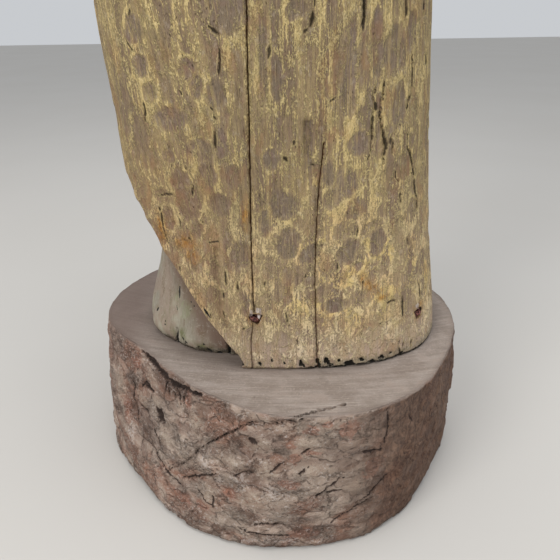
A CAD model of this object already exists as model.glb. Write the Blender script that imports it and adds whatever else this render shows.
"""Looks of a carved standing figure in a worn yellow wrap, on its slice of log.

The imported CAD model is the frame: every surface here starts from a CAD node's own surface, and
carving, weathering and paint are added to it. Metres, +Z up, the figure faces -Y.
"""

import math

import bmesh
import bpy
import numpy as np
from mathutils import Matrix, Vector
from mathutils.bvhtree import BVHTree


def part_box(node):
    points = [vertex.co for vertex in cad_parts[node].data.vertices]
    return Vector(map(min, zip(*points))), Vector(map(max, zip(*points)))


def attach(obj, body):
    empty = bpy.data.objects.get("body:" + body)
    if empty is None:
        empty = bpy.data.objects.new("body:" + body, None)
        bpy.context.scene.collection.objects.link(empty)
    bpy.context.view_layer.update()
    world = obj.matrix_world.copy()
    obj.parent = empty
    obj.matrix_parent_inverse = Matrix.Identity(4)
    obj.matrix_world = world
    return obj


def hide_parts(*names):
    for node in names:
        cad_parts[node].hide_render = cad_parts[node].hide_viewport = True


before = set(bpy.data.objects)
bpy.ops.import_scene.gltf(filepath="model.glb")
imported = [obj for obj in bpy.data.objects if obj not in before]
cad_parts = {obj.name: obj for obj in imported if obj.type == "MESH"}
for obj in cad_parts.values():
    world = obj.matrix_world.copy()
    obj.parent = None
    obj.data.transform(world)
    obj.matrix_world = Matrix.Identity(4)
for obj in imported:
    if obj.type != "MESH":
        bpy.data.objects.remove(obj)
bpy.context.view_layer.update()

MM = 0.001
SLAB_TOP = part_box("base_slab")[1].z
LOG_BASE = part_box("figure_log")[0].z
BODY = "root"

# The wrap and the body above it
WRAP_TOP = 0.806  # inside the top of the waist roll
BODY_FROM = 0.800
NOMINAL_RADIUS = 0.155  # turns an angle round the log into a distance
FRONT = 270.0  # degrees; the side that faces -Y
HEAD_MIDDLE = -6.0  # x of the head's middle, millimetres
HEAD_FROM = 1120  # height from which the face's lines and the hair are carved, millimetres
HAIR_START = (-0.050, 1.352)  # y and z of a point of the hairline's plane
HAIR_RISE = (0.80, 0.60)  # y and z of that plane's normal, towards the hair
HEM_TIP = (-33.5, 190.3)  # x and z where the lifted hem starts, millimetres
HEM_RISE = 1.6  # rise of its slope per unit of run

# The slab, the screws' bores and the marks
SLAB_RADIUS = 225.0  # turns an angle round the slab into a distance, millimetres
BARK_SLANT = 28.0  # degrees that the bark's fibres lean
SCREW_BORE_RADIUS = 0.0036
AWAY = 1e6  # a place, in millimetres, that no mark reaches

# The camera
CAMERA_PLACE = (0.003, -0.655, 0.546)
CAMERA_PITCH = 25.57  # degrees below level
CAMERA_ROLL = 0.92

# Tables of marks. More than half of the points on the sides that the photograph shows, and the
# facets' half sizes, were converted from positions on it by a helper program outside this file.
# The rules for this script forbid such tables; report.md says which rows they are. The other
# widths and depths, and the rows for the back and for the body, were chosen by hand.

# Drying cracks of the wrap: half width, depth, path of (x, z) from the top down, in millimetres
WRAP_CRACKS = (
    (0.56, 4.5, ((-19, 806), (-20, 700), (-21, 600), (-21, 555), (-22, 509), (-22.5, 459),
     (-23.6, 404), (-25, 344), (-25.3, 277), (-24.4, 262))),
    (0.36, 1.8, ((-26.5, 250), (-29.5, 222), (-29, 190))),
    (0.46, 2.2, ((45, 437), (44, 422), (42, 403), (40.5, 383), (39, 343), (38.7, 299), (40, 252),
     (43, 190))),
)
# Gouges, splits and pits of the wrap: half width, depth, path of (x, z), all in millimetres
WRAP_MARKS = (
    (1.4, 1.8, ((-54, 536), (-50, 533), (-46, 530))), (1.1, 1.5, ((-46, 519), (-46, 506), (-48, 497))),
    (0.9, 1.2, ((-133, 526), (-126, 516))), (0.9, 1.2, ((-122, 474), (-121, 465), (-122, 454))),
    (0.9, 1.2, ((-84, 484), (-82, 480))), (0.9, 1.0, ((-58, 470), (-55, 468))),
    (0.9, 1.0, ((-55, 462), (-52, 460))), (0.8, 1.0, ((-90, 453), (-90, 448))),
    (1.7, 1.8, ((-54, 448), (-55, 439), (-55, 433))), (0.8, 1.0, ((-125, 551), (-125, 546))),
    (1.9, 2.0, ((34, 545), (33, 540), (32, 535))), (1.2, 1.2, ((29, 533), (26, 530))),
    (1.0, 1.0, ((36, 556), (36, 551))), (1.2, 1.0, ((-3, 522), (-3, 511))),
    (2.3, 3.2, ((80, 575), (79, 554), (79, 545), (78.5, 536))), (1.2, 2.0, ((78.5, 536), (78, 527))),
    (1.3, 1.2, ((48, 472), (55, 476))), (1.0, 1.0, ((-100, 434), (-100, 433))),
    (1.0, 1.0, ((-99, 415), (-99, 414))), (0.9, 1.2, ((-85, 417), (-85, 411))),
    (1.0, 1.4, ((-79, 398), (-80, 392), (-80, 386))), (1.2, 1.4, ((-117, 382), (-109, 385), (-101, 386))),
    (0.9, 1.6, ((-118, 370), (-116, 358), (-115, 345), (-112, 332))),
    (0.8, 1.0, ((-71, 363), (-72, 359))), (0.8, 1.0, ((-89, 342), (-85, 341))),
    (0.7, 0.8, ((-73, 336), (-65, 340), (-57, 341))), (0.9, 1.2, ((-101, 310), (-102, 303))),
    (2.1, 1.6, ((9, 425), (11, 422))), (1.0, 1.0, ((18, 441), (18, 437))),
    (1.2, 1.2, ((34, 417), (37, 416))), (0.9, 1.0, ((8, 262), (9, 258), (11, 250))),
    (0.9, 1.0, ((12, 248), (13, 245))), (0.9, 1.6, ((136, 212), (138, 191))),
    (0.8, 1.2, ((141, 212), (142, 192))), (0.8, 1.2, ((151, 209), (152, 199))),
    (1.2, 1.8, ((119, 566), (119, 553), (120, 538))), (0.9, 1.0, ((112, 549), (112, 548))),
    (1.0, 1.4, ((140, 556), (141, 544))), (1.0, 1.2, ((129, 511), (130, 504))),
    (0.9, 1.4, ((148, 508), (149, 498))), (0.8, 1.0, ((130, 501), (131, 488), (132, 476))),
    (1.1, 1.4, ((130, 473), (127, 460))),
    (1.0, 2.2, ((93, 483), (91, 474), (93, 464), (91, 456), (92, 440), (91, 426), (88, 418))),
    (1.3, 2.8, ((101, 488), (101, 474), (98, 460), (100, 452), (103, 441), (106, 429), (104, 412))),
    (2.0, 2.4, ((105, 436), (107, 427))), (0.8, 1.2, ((110, 440), (111, 430))),
    (1.4, 1.8, ((94, 470), (94, 463))), (0.8, 1.0, ((120, 448), (120, 446))),
    (0.9, 1.4, ((113, 439), (114, 421))),
    (1.2, 2.0, ((130, 438), (131, 422), (134, 419), (136, 410), (139, 403), (142, 389))),
    (1.0, 1.8, ((142, 389), (145, 374), (148, 368), (149, 348))),
    (0.9, 1.2, ((118, 407), (119, 397), (124, 391))), (0.9, 1.2, ((125, 382), (126, 370))),
    (0.9, 1.2, ((81, 354), (80, 342))), (0.9, 1.2, ((138, 331), (139, 320))),
    (0.9, 1.2, ((158, 274), (160, 254))), (1.2, 1.4, ((136, 265), (138, 239))),
    (0.9, 1.2, ((89, 293), (90, 281))), (1.3, 1.2, ((116, 262), (123, 264), (130, 262))),
    (1.0, 1.0, ((120, 237), (119, 236))), (1.0, 1.0, ((111, 240), (111, 239))),
    (1.1, 1.4, ((-52, 308), (-53, 294))), (1.2, 1.6, ((-40, 297), (-41, 287))),
    (0.9, 1.2, ((-55, 285), (-56, 278))), (0.9, 1.0, ((-69, 305), (-69, 303))),
    (0.9, 1.0, ((30, 306), (28, 298))), (0.9, 1.0, ((-12, 300), (-13, 292))),
    (0.8, 0.9, ((62, 318), (61, 306))), (0.8, 1.0, ((-96, 362), (-95, 350))),
    (1.2, 1.0, ((-38, 241), (-34, 243), (-29, 243))), (0.8, 0.9, ((20, 232), (21, 222))),
    (0.9, 1.0, ((-58, 262), (-56, 254))), (0.9, 0.9, ((-72, 258), (-72, 253))),
)
# Chips along the hem, down to bare dark wood: half width, depth, path
HEM_CHIPS = (
    (1.6, 2.5, ((-21, 199), (-20, 196))), (1.3, 2.0, ((-7, 203), (-7, 202))),
    (1.5, 2.0, ((6, 200), (6, 198))), (2.4, 3.0, ((24, 202), (25, 197), (28, 195))),
    (2.2, 3.5, ((42.5, 203), (43, 197), (43, 190))), (3.6, 4.0, ((52, 202), (54, 196), (58, 194))),
    (1.6, 2.5, ((66, 201), (66, 199))), (3.0, 3.5, ((75, 196), (84, 193))),
    (2.4, 3.5, ((90, 199), (93, 198))), (3.0, 3.5, ((100, 194), (107, 193))),
    (2.6, 3.5, ((113, 197), (118, 195))), (1.6, 2.5, ((124, 199), (127, 198))),
    (1.8, 2.4, ((133, 193), (141, 194))),
    (1.2, 2.0, ((45, 190), (70, 191.5), (95, 190), (120, 191.5), (145, 191), (179, 192))),
    (2.6, 4.0, ((-52, 214), (-45, 203), (-40, 196))), (0.9, 1.6, ((-79, 262), (-76, 257), (-73, 252))),
)
# Bare facets that the adze left on the front: centre x, z, half width, half height, lean in degrees
BARE_FACETS = (
    (-123, 534, 9, 12, 0), (-120, 504, 7, 10, 0), (-115, 481, 7, 9, 0), (-52, 481, 9, 12, 0),
    (-68, 489, 6, 9, 0), (-38, 551, 15, 19, 0), (-96, 459, 15, 10, 0), (-76, 503, 7, 9, 0),
    (-70, 433, 13, 8, 0), (-64, 423, 9, 13, 0), (-92, 400, 9, 10, 0), (-84, 378, 11, 15, 0),
    (-54, 379, 9, 10, 0), (-35, 329, 9, 12, 0), (-102, 424, 6, 6, 0), (-66, 407, 9, 13, 0),
    (-78, 351, 6, 8, 0), (8, 379, 14, 12, 0), (66, 398, 8, 13, 0), (75, 367, 6, 6, 0), (55, 384, 8, 9, 0),
    (51, 409, 5, 12, 0), (12, 340, 10, 15, 0), (32, 327, 12, 7, 40), (-10, 361, 6, 12, 0),
    (73, 327, 10, 12, 0), (-4, 423, 7, 9, 0), (20, 548, 8, 7, 0), (68, 495, 6, 44, 0),
    (-8, 517, 4, 37, 0), (3, 494, 5, 20, 0), (111, 514, 11, 20, 0), (127, 529, 5, 15, 0),
    (92, 520, 5, 30, 3), (103, 333, 8, 14, -8), (84, 316, 4, 9, 0), (135, 430, 3, 8, 0),
    (97, 469, 3, 10, 0), (118, 465, 6, 20, 0), (70, 397, 7, 12, 0), (77, 435, 8, 10, 0),
    (60, 268, 13, 7, 0), (-50, 436, 7, 14, 0), (-40, 405, 6, 12, 0), (-108, 360, 6, 11, 0),
)
# A straight groove with a round top: centre x, z, half width, half height
TOOL_GROOVE = (31, 418, 5.6, 36)
# Rust stains, and smears of filler round the screws: centre x, z, half sizes
RUST_STAINS = (
    (-91, 336, 13, 10), (-86, 322, 8, 9), (88, 295, 4, 6), (93, 289, 6, 5), (100, 284, 7, 4),
    (106, 278, 6, 4), (112, 271, 7, 4), (-30, 370, 5, 16), (-118, 345, 8, 20), (-24, 256, 9, 8),
    (159, 240, 7, 12),
)
FILLER_SMEARS = (
    (-28, 264, 2.6, 4.6), (-20.5, 264, 3.2, 2.8), (-18, 258, 1.6, 4.6), (157, 246, 2.6, 3),
)
FILLER_SHARE = 0.84  # how much of its pocket's width the crumbled filler still takes up
# The soft fold beside the lifted hem
HEM_FOLD = (4.6, 3.0, ((-62, 333), (-63, 295), (-62, 272), (-62, 254), (-55, 242)))

# Cracks and marks of the wrap's back, and of the body above it, in the same form
WRAP_BACK_MARKS = (
    (1.3, 6.0, ((30, 806), (26, 640), (24, 470), (29, 330), (26, 190))),
    (0.9, 4.0, ((-70, 720), (-74, 560), (-71, 430))),
    (1.2, 2.0, ((80, 420), (82, 380))), (1.4, 2.0, ((-20, 300), (-22, 268))),
    (1.2, 2.0, ((110, 560), (112, 520))), (2.6, 3.0, ((60, 196), (66, 194))),
    (2.2, 3.0, ((0, 195), (6, 193))),
)
BODY_CRACKS = (
    (1.2, 5.0, ((-19, 800), (-20, 824), (-22, 838))), (1.1, 4.0, ((34, 920), (38, 990), (36, 1050))),
    (0.9, 3.0, ((-62, 930), (-64, 990))),
)
BODY_BACK_CRACKS = (
    (1.3, 6.0, ((30, 800), (27, 880), (20, 960), (22, 1050))), (1.0, 3.0, ((-50, 900), (-54, 1000))),
)

# Splits and gashes of the slab's side: half width, depth, path of (degrees round, millimetres up)
SLAB_MARKS = (
    (4.2, 4.0, ((213, 187), (219, 184), (225, 181), (231, 178), (238, 180), (245, 184))),
    (2.2, 5.0, ((209, 187), (213, 184), (219, 181), (225, 178), (230, 171), (233, 163))),
    (3.8, 3.0, ((233, 177), (235.5, 160))), (2.6, 2.5, ((227.2, 175), (227.5, 165))),
    (1.7, 2.5, ((229, 169), (229.2, 162))), (1.7, 2.5, ((236.9, 170), (237, 163))),
    (3.0, 2.5, ((211.2, 143), (213.5, 149), (219.6, 149))),
    (7.0, 4.5, ((222.4, 131), (224.7, 127), (226.6, 122))),
    (2.0, 2.4, ((210.9, 119), (216.3, 117), (219, 112))),
    (2.2, 2.0, ((220.5, 112), (223.7, 102), (226.2, 91))), (1.8, 1.5, ((231.4, 128), (231.6, 127))),
    (1.6, 1.5, ((236.1, 145), (236.3, 144))),
    (0.85, 3.5, ((231.3, 66), (240.2, 98), (245.8, 122), (251.5, 141), (255.7, 153), (259.5, 167),
     (262.9, 176), (266.2, 178), (272, 184), (276, 187))),
    (4.4, 3.0, ((261.9, 153), (263.6, 151))), (1.3, 2.2, ((267, 116), (269.2, 124), (271.3, 131))),
    (1.3, 2.0, ((274.9, 140), (277.8, 150))), (1.2, 2.0, ((274.3, 118), (277.7, 127))),
    (1.2, 1.8, ((280.9, 136), (281.6, 143))), (1.4, 2.2, ((279.4, 84), (282.6, 95), (285.7, 105))),
    (1.0, 1.6, ((281.9, 86), (285.2, 89), (288.5, 89))), (1.4, 1.6, ((286.5, 106), (286.9, 105))),
    (1.1, 1.8, ((297.9, 188), (299, 165), (299, 150), (298, 136))),
    (2.4, 2.8, ((291.8, 135), (294.1, 134), (297.3, 131))),
    (1.8, 3.0, ((237.4, 67), (244.6, 83), (250.6, 96))),
    (1.8, 2.8, ((262.3, 38), (266, 43), (270.7, 43))), (1.4, 1.4, ((249.7, 72), (249.3, 46))),
    (1.2, 2.0, ((256, 100), (261, 112), (265, 113))), (1.4, 1.8, ((243, 60), (247, 52), (252, 50))),
    (0.9, 1.4, ((306, 172), (308, 148))), (0.8, 1.4, ((322, 150), (324, 120))),
    (1.0, 1.4, ((331, 150), (333, 110))), (1.4, 1.8, ((291, 62), (297, 78), (303, 98))),
    (1.4, 1.8, ((284, 40), (290, 54), (296, 66))), (1.6, 2.0, ((205, 150), (207, 120), (211, 92))),
    (1.5, 2.0, ((222, 78), (228, 66), (236, 52))), (1.5, 1.8, ((257, 28), (264, 24), (272, 26))),
    (2.0, 3.0, ((20, 186), (24, 150), (23, 110), (28, 70))), (1.6, 2.5, ((58, 160), (63, 110), (60, 60))),
    (2.4, 3.5, ((98, 188), (101, 140), (97, 96), (103, 50))),
    (1.6, 2.5, ((135, 170), (131, 120), (136, 72))), (1.8, 2.5, ((168, 180), (171, 130), (166, 84))),
    (1.4, 2.0, ((76, 90), (85, 78), (95, 80))),
)
# A check that runs in from the rim over the slab's top: half width, depth, path of (x, y)
SLAB_TOP_CHECK = (1.1, 1.8, ((4, -224), (27, -216), (46, -209), (67, -202)))
# Smooth plates, reddish patches and pale scale of the side: degrees round, height, half sizes (mm)
SLAB_PLATES = (
    (264.6, 149, 15, 9), (278.3, 158, 15, 8), (278.6, 122, 20, 9), (266, 120, 14, 13), (256, 121, 16, 14),
    (289.7, 92, 16, 15), (218, 160, 18, 12), (214, 131, 14, 9), (222, 143, 12, 9), (243, 150, 14, 18),
    (305, 160, 16, 22), (311, 120, 15, 26), (248, 62, 12, 14), (262, 76, 18, 12), (229, 106, 12, 14),
    (196, 120, 18, 22), (325, 140, 14, 30), (15, 120, 22, 26), (50, 90, 24, 22), (90, 140, 22, 18),
    (120, 80, 24, 26), (150, 130, 22, 24), (340, 90, 20, 24),
)
SLAB_REDS = (
    (278, 173, 12, 8), (282, 181, 12, 6), (288, 172, 16, 14), (273, 152, 8, 8), (274, 135, 10, 8),
    (278, 144, 12, 5), (272, 103, 14, 8), (295.7, 112, 14, 16), (276, 27, 26, 10), (237, 39, 18, 9),
    (255, 75, 12, 12), (245, 41, 14, 9), (207, 168, 18, 12), (239, 172, 8, 20), (303, 90, 16, 22),
    (203, 100, 14, 20), (318, 60, 26, 20), (345, 150, 22, 22), (40, 130, 20, 26), (110, 150, 22, 20),
    (160, 60, 22, 20), (75, 60, 24, 16),
)
SLAB_WHITES = (
    (272, 17, 22, 7), (281, 14, 20, 6), (261, 12, 18, 6), (232, 7, 20, 6), (251.5, 89, 6, 6),
    (304, 34, 10, 12), (312, 40, 12, 16), (232, 84, 5, 4), (206, 66, 14, 22), (293, 140, 9, 4),
    (258, 96, 12, 14), (268, 88, 14, 10), (247, 104, 10, 12), (318, 88, 8, 22),
)

# The foot: chips and splits as half width, depth, path of (x, z) in millimetres
FOOT_MARKS = (
    (2.6, 2.4, ((-81, 197), (-78, 192))), (1.5, 1.8, ((-108, 201), (-106, 199))),
    (1.0, 1.2, ((-92, 199), (-91, 198))), (1.2, 1.6, ((-111, 205), (-110, 203))),
    (1.4, 1.6, ((-95, 247), (-95, 246))), (1.0, 1.2, ((-100, 242), (-100, 241))),
    (1.3, 1.6, ((-85, 204), (-85, 202))), (1.4, 1.8, ((-99, 194), (-98, 193))),
    (2.4, 2.4, ((-70, 191), (-66, 191))), (0.9, 1.0, ((-134, 216), (-134, 215))),
    (0.9, 1.0, ((-134, 212), (-134, 211))), (1.2, 1.4, ((-153, 200), (-153, 198))),
    (1.0, 1.4, ((-113, 266), (-113.5, 258), (-114, 251))), (0.9, 1.0, ((-118, 240), (-117, 236))),
    (1.0, 1.0, ((-88, 192), (-87, 191))), (0.7, 0.8, ((-99, 252), (-96, 248))),
    (1.2, 1.2, ((-146, 224), (-147, 220))),
)
TOE_GAP = (1.9, 3.6, ((-118.5, 213), (-118.5, 206), (-119.5, 200), (-120, 189)))
FOOT_GAP = (2.3, 7.0, ((-57.5, 208), (-56.5, 202), (-58, 190)))
# Green patches of the foot: centre x, z, half sizes
FOOT_GREENS = (
    (-109, 267, 9, 10), (-103, 262, 7, 7), (-103, 241, 16, 12), (-115, 251, 6, 12), (-114, 208, 14, 8),
    (-84, 199, 14, 6),
)
# Swellings of the toes: centre, half sizes, and how far they swell
TOES = ((-139, -52, 203, 21, 26, 22, 4.2), (-90, -94, 203, 32, 22, 20, 3.2))


def srgb(red, green, blue):
    """Linear colour of one given as display values from 0 to 255."""
    return (*(((value / 255 + 0.055) / 1.055) ** 2.4 for value in (red, green, blue)), 1.0)


# ---------------------------------------------------------------- noise and distances


def lattice_noise(points, seed):
    """Smooth noise from -1 to 1, with one random value at each whole-numbered point of space."""
    size = 4096
    rng = np.random.default_rng(seed)
    values = rng.uniform(-1, 1, size)
    order = rng.permutation(size)
    cell = np.floor(points).astype(np.int64)
    share = points - cell
    share = share * share * (3 - 2 * share)
    total = np.zeros(len(points))
    for corner in np.ndindex(2, 2, 2):
        at = (cell + corner) % size
        index = order[(at[:, 0] + order[(at[:, 1] + order[at[:, 2]]) % size]) % size]
        weight = np.prod(np.where(corner, share, 1 - share), axis=1)
        total += weight * values[index]
    return total


def layered_noise(points, size, seed, layers=3):
    """Noise of a given size (metres, one number or three), with finer layers on top."""
    total, weight, reach = np.zeros(len(points)), 1.0, 0.0
    scaled = points / np.broadcast_to(np.asarray(size, float), (3,))
    for layer in range(layers):
        total += weight * lattice_noise(scaled * 2**layer + 17.3 * layer, seed + layer)
        reach += weight
        weight *= 0.5
    return total / reach


def cell_noise(points, size, seed):
    """Random plates: a value from -1 to 1 for each cell, and how much nearer its centre is than the next."""
    rng = np.random.default_rng(seed)
    jitter = rng.uniform(0, 1, (4096, 3))
    values = rng.uniform(-1, 1, 4096)
    order = rng.permutation(4096)
    scaled = points / np.asarray(size, float)
    base = np.floor(scaled).astype(np.int64)
    first, second = np.full(len(points), np.inf), np.full(len(points), np.inf)
    value = np.zeros(len(points))
    for offset in np.ndindex(3, 3, 3):
        cell = base + np.array(offset) - 1
        at = cell % 4096
        index = order[(at[:, 0] + order[(at[:, 1] + order[at[:, 2]]) % 4096]) % 4096]
        distance = np.linalg.norm(scaled - cell - jitter[index], axis=1)
        nearer = distance < first
        second = np.where(nearer, first, np.minimum(second, distance))
        first = np.where(nearer, distance, first)
        value = np.where(nearer, values[index], value)
    return value, second - first


def smooth_step(values, low, high):
    share = np.clip((values - low) / (high - low), 0, 1)
    return share * share * (3 - 2 * share)


def path_distance(across, up, path):
    """Distance of points to a path in the plane, and how far along the path each lies, 0 to 1."""
    best = np.full(len(across), np.inf)
    along = np.zeros(len(across))
    steps = [math.dist(a, b) for a, b in zip(path, path[1:])]
    done, total = 0.0, sum(steps)
    for (start, end), length in zip(zip(path, path[1:]), steps):
        run, rise = (end[0] - start[0]) / length, (end[1] - start[1]) / length
        share = np.clip((across - start[0]) * run + (up - start[1]) * rise, 0, length)
        distance = np.hypot(across - start[0] - share * run, up - start[1] - share * rise)
        nearer = distance < best
        best = np.where(nearer, distance, best)
        along = np.where(nearer, (done + share) / total, along)
        done += length
    return best, along


def cut_marks(across, up, marks, wobble, taper=True, scale=1.0):
    """Depth in metres of a set of marks, and how near each point is to one (0.5 at its edge)."""
    depth, near = np.zeros(len(across)), np.zeros(len(across))
    for half_width, deepest, path in marks:
        margin = 4 * half_width + 1
        xs, ys = zip(*path)
        inside = np.flatnonzero((across > min(xs) - margin) & (across < max(xs) + margin)
                                & (up > min(ys) - margin) & (up < max(ys) + margin))
        if not len(inside):
            continue
        distance, along = path_distance(across[inside], up[inside], path)
        width = scale * half_width * (1 + 0.45 * wobble[inside])
        if taper:
            width = width * (0.45 + 0.55 * np.sin(np.pi * np.clip(along, 0.08, 0.92)))
        near[inside] = np.maximum(near[inside], np.clip(1 - distance / (2 * width), 0, 1))
        bowl = np.clip(1 - (distance / (width * 1.15)) ** 2, 0, 1)
        depth[inside] = np.maximum(depth[inside], bowl * deepest * MM)
    return depth, near


def soft_patches(across, up, patches, wobble):
    """How strongly each point lies in one of some oval patches, 0 to 1."""
    strength = np.zeros(len(across))
    for x, y, half_width, half_height in patches:
        reach = np.hypot((across - x) / half_width, (up - y) / half_height)
        strength = np.maximum(strength, np.clip(1.35 - reach - 0.45 * wobble, 0, 1))
    return strength


# ---------------------------------------------------------------- surfaces of CAD nodes


def tree_of(node):
    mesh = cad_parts[node].data
    return BVHTree.FromPolygons([v.co for v in mesh.vertices], [list(p.vertices) for p in mesh.polygons])


class Skin:
    """Outer surface of an upright CAD node: its radius from the Z axis at any angle and height."""

    STEP_UP = 0.004
    STEP_ROUND = 1.5
    SMOOTHINGS = 6

    def __init__(self, node, low, high):
        tree = tree_of(node)
        self.heights = np.linspace(low, high, round((high - low) / self.STEP_UP) + 1)
        self.angles = np.arange(0.0, 360.0, self.STEP_ROUND)
        self.radii = np.full((len(self.heights), len(self.angles)), np.nan)
        self.undercut = None  # a point and a normal of the sloping face, if the node has one
        for row, height in enumerate(self.heights):
            for column, angle in enumerate(np.radians(self.angles)):
                out = Vector((math.cos(angle), math.sin(angle), 0.0))
                place, normal = tree.ray_cast(out * 0.6 + Vector((0, 0, height)), -out)[:2]
                if place is None:
                    continue
                if normal.z < -0.3 and height < 0.5:
                    self.undercut = (place.copy(), normal.copy())
                    continue
                self.radii[row, column] = math.hypot(place.x, place.y)
        self.fill_below()
        for _ in range(self.SMOOTHINGS):
            self.radii = (np.roll(self.radii, 1, 1) + 2 * self.radii + np.roll(self.radii, -1, 1)) / 4

    def fill_below(self):
        """Carries each column's surface on downwards where the node is cut away."""
        rows = 8
        for column in self.radii.T:
            missing = np.flatnonzero(np.isnan(column))
            if not len(missing):
                continue
            lowest = missing[-1] + 1
            slope = (column[lowest] - column[lowest + rows]) / rows
            missing = np.arange(lowest)
            column[missing] = column[lowest] + slope * (lowest - missing)

    def radius(self, angles, heights):
        """Radius at angles in degrees and heights in metres, arrays of one shape."""
        row = np.interp(heights, self.heights, np.arange(len(self.heights)))
        low = np.minimum(row.astype(int), len(self.heights) - 2)
        up = row - low
        turn = (np.asarray(angles) % 360) / (self.angles[1] - self.angles[0])
        left = turn.astype(int) % len(self.angles)
        right = (left + 1) % len(self.angles)
        over = turn - np.floor(turn)
        lower = self.radii[low, left] * (1 - over) + self.radii[low, right] * over
        upper = self.radii[low + 1, left] * (1 - over) + self.radii[low + 1, right] * over
        return lower * (1 - up) + upper * up

    def depth(self, points):
        """How far below the skin points lie."""
        return self.radius(angles_of(points), points[:, 2]) - np.hypot(points[:, 0], points[:, 1])

    def points(self, angles, heights):
        radius = self.radius(angles, heights)
        turn = np.radians(angles)
        return np.stack([radius * np.cos(turn), radius * np.sin(turn), heights], axis=-1)


def column_angles(skin, height, offsets, spacings):
    """Angles of columns round a skin, from the back, spaced by how far they are from the front."""
    fine = np.linspace(FRONT - 180, FRONT + 180, 7201)
    spacing = np.interp(np.abs(fine - FRONT), offsets, spacings)
    density = np.radians(1.0) * skin.radius(fine, np.full(len(fine), height)) / spacing
    total = np.concatenate([[0], np.cumsum(density[:-1] * np.diff(fine))])
    count = 2 * round(total[-1] / 2)
    return np.interp(np.arange(count) * total[-1] / count, total, fine)


def graded_steps(low, high, places, spacings):
    """Values from low to high whose spacing changes from place to place."""
    fine = np.linspace(low, high, 4001)
    total = np.concatenate([[0], np.cumsum(np.diff(fine) / np.interp(fine[:-1], places, spacings))])
    return np.interp(np.linspace(0, total[-1], round(total[-1]) + 1), total, fine)


def grid_faces(rows, columns, first=0):
    """Faces of a closed band of points, rows listed upwards and columns counter-clockwise."""
    index = first + np.arange(rows * columns).reshape(rows, columns)
    low, high = index[:-1], index[1:]
    return np.stack([low, np.roll(low, -1, 1), np.roll(high, -1, 1), high], axis=-1).reshape(-1, 4)


def lid_faces(ring, facing_up):
    """Strips across a ring of points whose first one is at the back, closing it."""
    count = len(ring)
    faces = []
    for index in range(count // 2):
        here, following = index, index + 1
        other, before = (count - index) % count, (count - index - 1) % count
        corners = list(dict.fromkeys([ring[here], ring[following], ring[before], ring[other]]))
        if len(corners) > 2:
            faces.append(corners if facing_up else corners[::-1])
    return faces


def placed(name, data):
    """A new object in the scene with some data: a mesh, a light or a camera."""
    obj = bpy.data.objects.new(name, data)
    bpy.context.scene.collection.objects.link(obj)
    return obj


def new_object(name, points, faces):
    mesh = bpy.data.meshes.new(name)
    mesh.from_pydata(np.asarray(points).tolist(), [], [list(map(int, face)) for face in faces])
    mesh.update()
    return placed(name, mesh)


def object_from(name, bm):
    """A new object made from an edited mesh, which is freed."""
    mesh = bpy.data.meshes.new(name)
    bm.to_mesh(mesh)
    bm.free()
    return placed(name, mesh)


def vertex_rows(obj, kind):
    flat = np.empty(len(obj.data.vertices) * 3)
    obj.data.vertices.foreach_get(kind, flat)
    return flat.reshape(-1, 3)


def places_of(obj):
    return vertex_rows(obj, "co")


def normals_of(obj):
    return vertex_rows(obj, "normal")


def angles_of(points):
    """Angles round the Z axis, in degrees from 0 to 360."""
    return np.degrees(np.arctan2(points[:, 1], points[:, 0])) % 360


def level(vectors):
    """The same directions made horizontal, at length 1."""
    flat = vectors * np.array([1.0, 1.0, 0.0])
    return flat / np.maximum(np.linalg.norm(flat, axis=1), 1e-6)[:, None]


def drawn_in(ring, pull):
    """A ring of points moved towards the Z axis by a distance."""
    made = ring.copy()
    made[:, :2] *= (1 - pull / np.linalg.norm(ring[:, :2], axis=1))[:, None]
    return made


def set_places(obj, points):
    obj.data.vertices.foreach_set("co", np.ascontiguousarray(points, np.float32).ravel())
    obj.data.update()


def set_fields(obj, **fields):
    """Stores numbers at each vertex, which the materials read by name."""
    for name, values in fields.items():
        field = obj.data.attributes.new(name, "FLOAT", "POINT")
        field.data.foreach_set("value", np.ascontiguousarray(values, np.float32))


def set_flow(obj, base_radius):
    """Stores each vertex's place as on a plain round column, so that wear follows the piece's sides.

    Beside the lifted hem the streaks fan out towards the figure's right.
    """
    points = places_of(obj)
    beside = np.exp(-((points[:, 0] + 0.100) / 0.060) ** 2) * (points[:, 1] < 0)
    fan = beside * np.clip(points[:, 2] - 0.46, -0.12, 0.12) * 0.20
    points[:, :2] *= (base_radius / np.maximum(np.linalg.norm(points[:, :2], axis=1), 1e-4))[:, None]
    points[:, 0] += fan
    field = obj.data.attributes.new("flow", "FLOAT_VECTOR", "POINT")
    field.data.foreach_set("vector", np.ascontiguousarray(points, np.float32).ravel())


def refine(obj, wanted):
    """Splits the edges between vertices that are wanted, so that small marks get enough points."""
    bm = bmesh.new()
    bm.from_mesh(obj.data)
    bm.verts.ensure_lookup_table()
    edges = [edge for edge in bm.edges if wanted[edge.verts[0].index] and wanted[edge.verts[1].index]]
    bmesh.ops.subdivide_edges(bm, edges=edges, cuts=1, use_grid_fill=True)
    bm.to_mesh(obj.data)
    bm.free()


def axis_of(node):
    """Ends of a long node's middle line, and its radius."""
    points = places_of(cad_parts[node])
    middle = (points.min(0) + points.max(0)) / 2
    direction = np.linalg.svd(points - points.mean(0), full_matrices=False)[2][0]
    along = (points - middle) @ direction
    middle = middle + direction * (along.max() + along.min()) / 2
    half = (along.max() - along.min()) / 2
    offset = points - middle
    radius = np.linalg.norm(offset - np.outer(offset @ direction, direction), axis=1).max()
    start, end = middle - direction * half, middle + direction * half
    return (start, end, radius) if start[2] < end[2] else (end, start, radius)


def screw_rods(reach):
    """Rods for the hem screws' bores, longer than the screws by a share of their length."""
    ends = [axis_of(node)[:2] for node in sorted(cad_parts) if node.startswith("hem_screw_")]
    return [(start - (end - start) * reach, end, SCREW_BORE_RADIUS) for start, end in ends]


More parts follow.
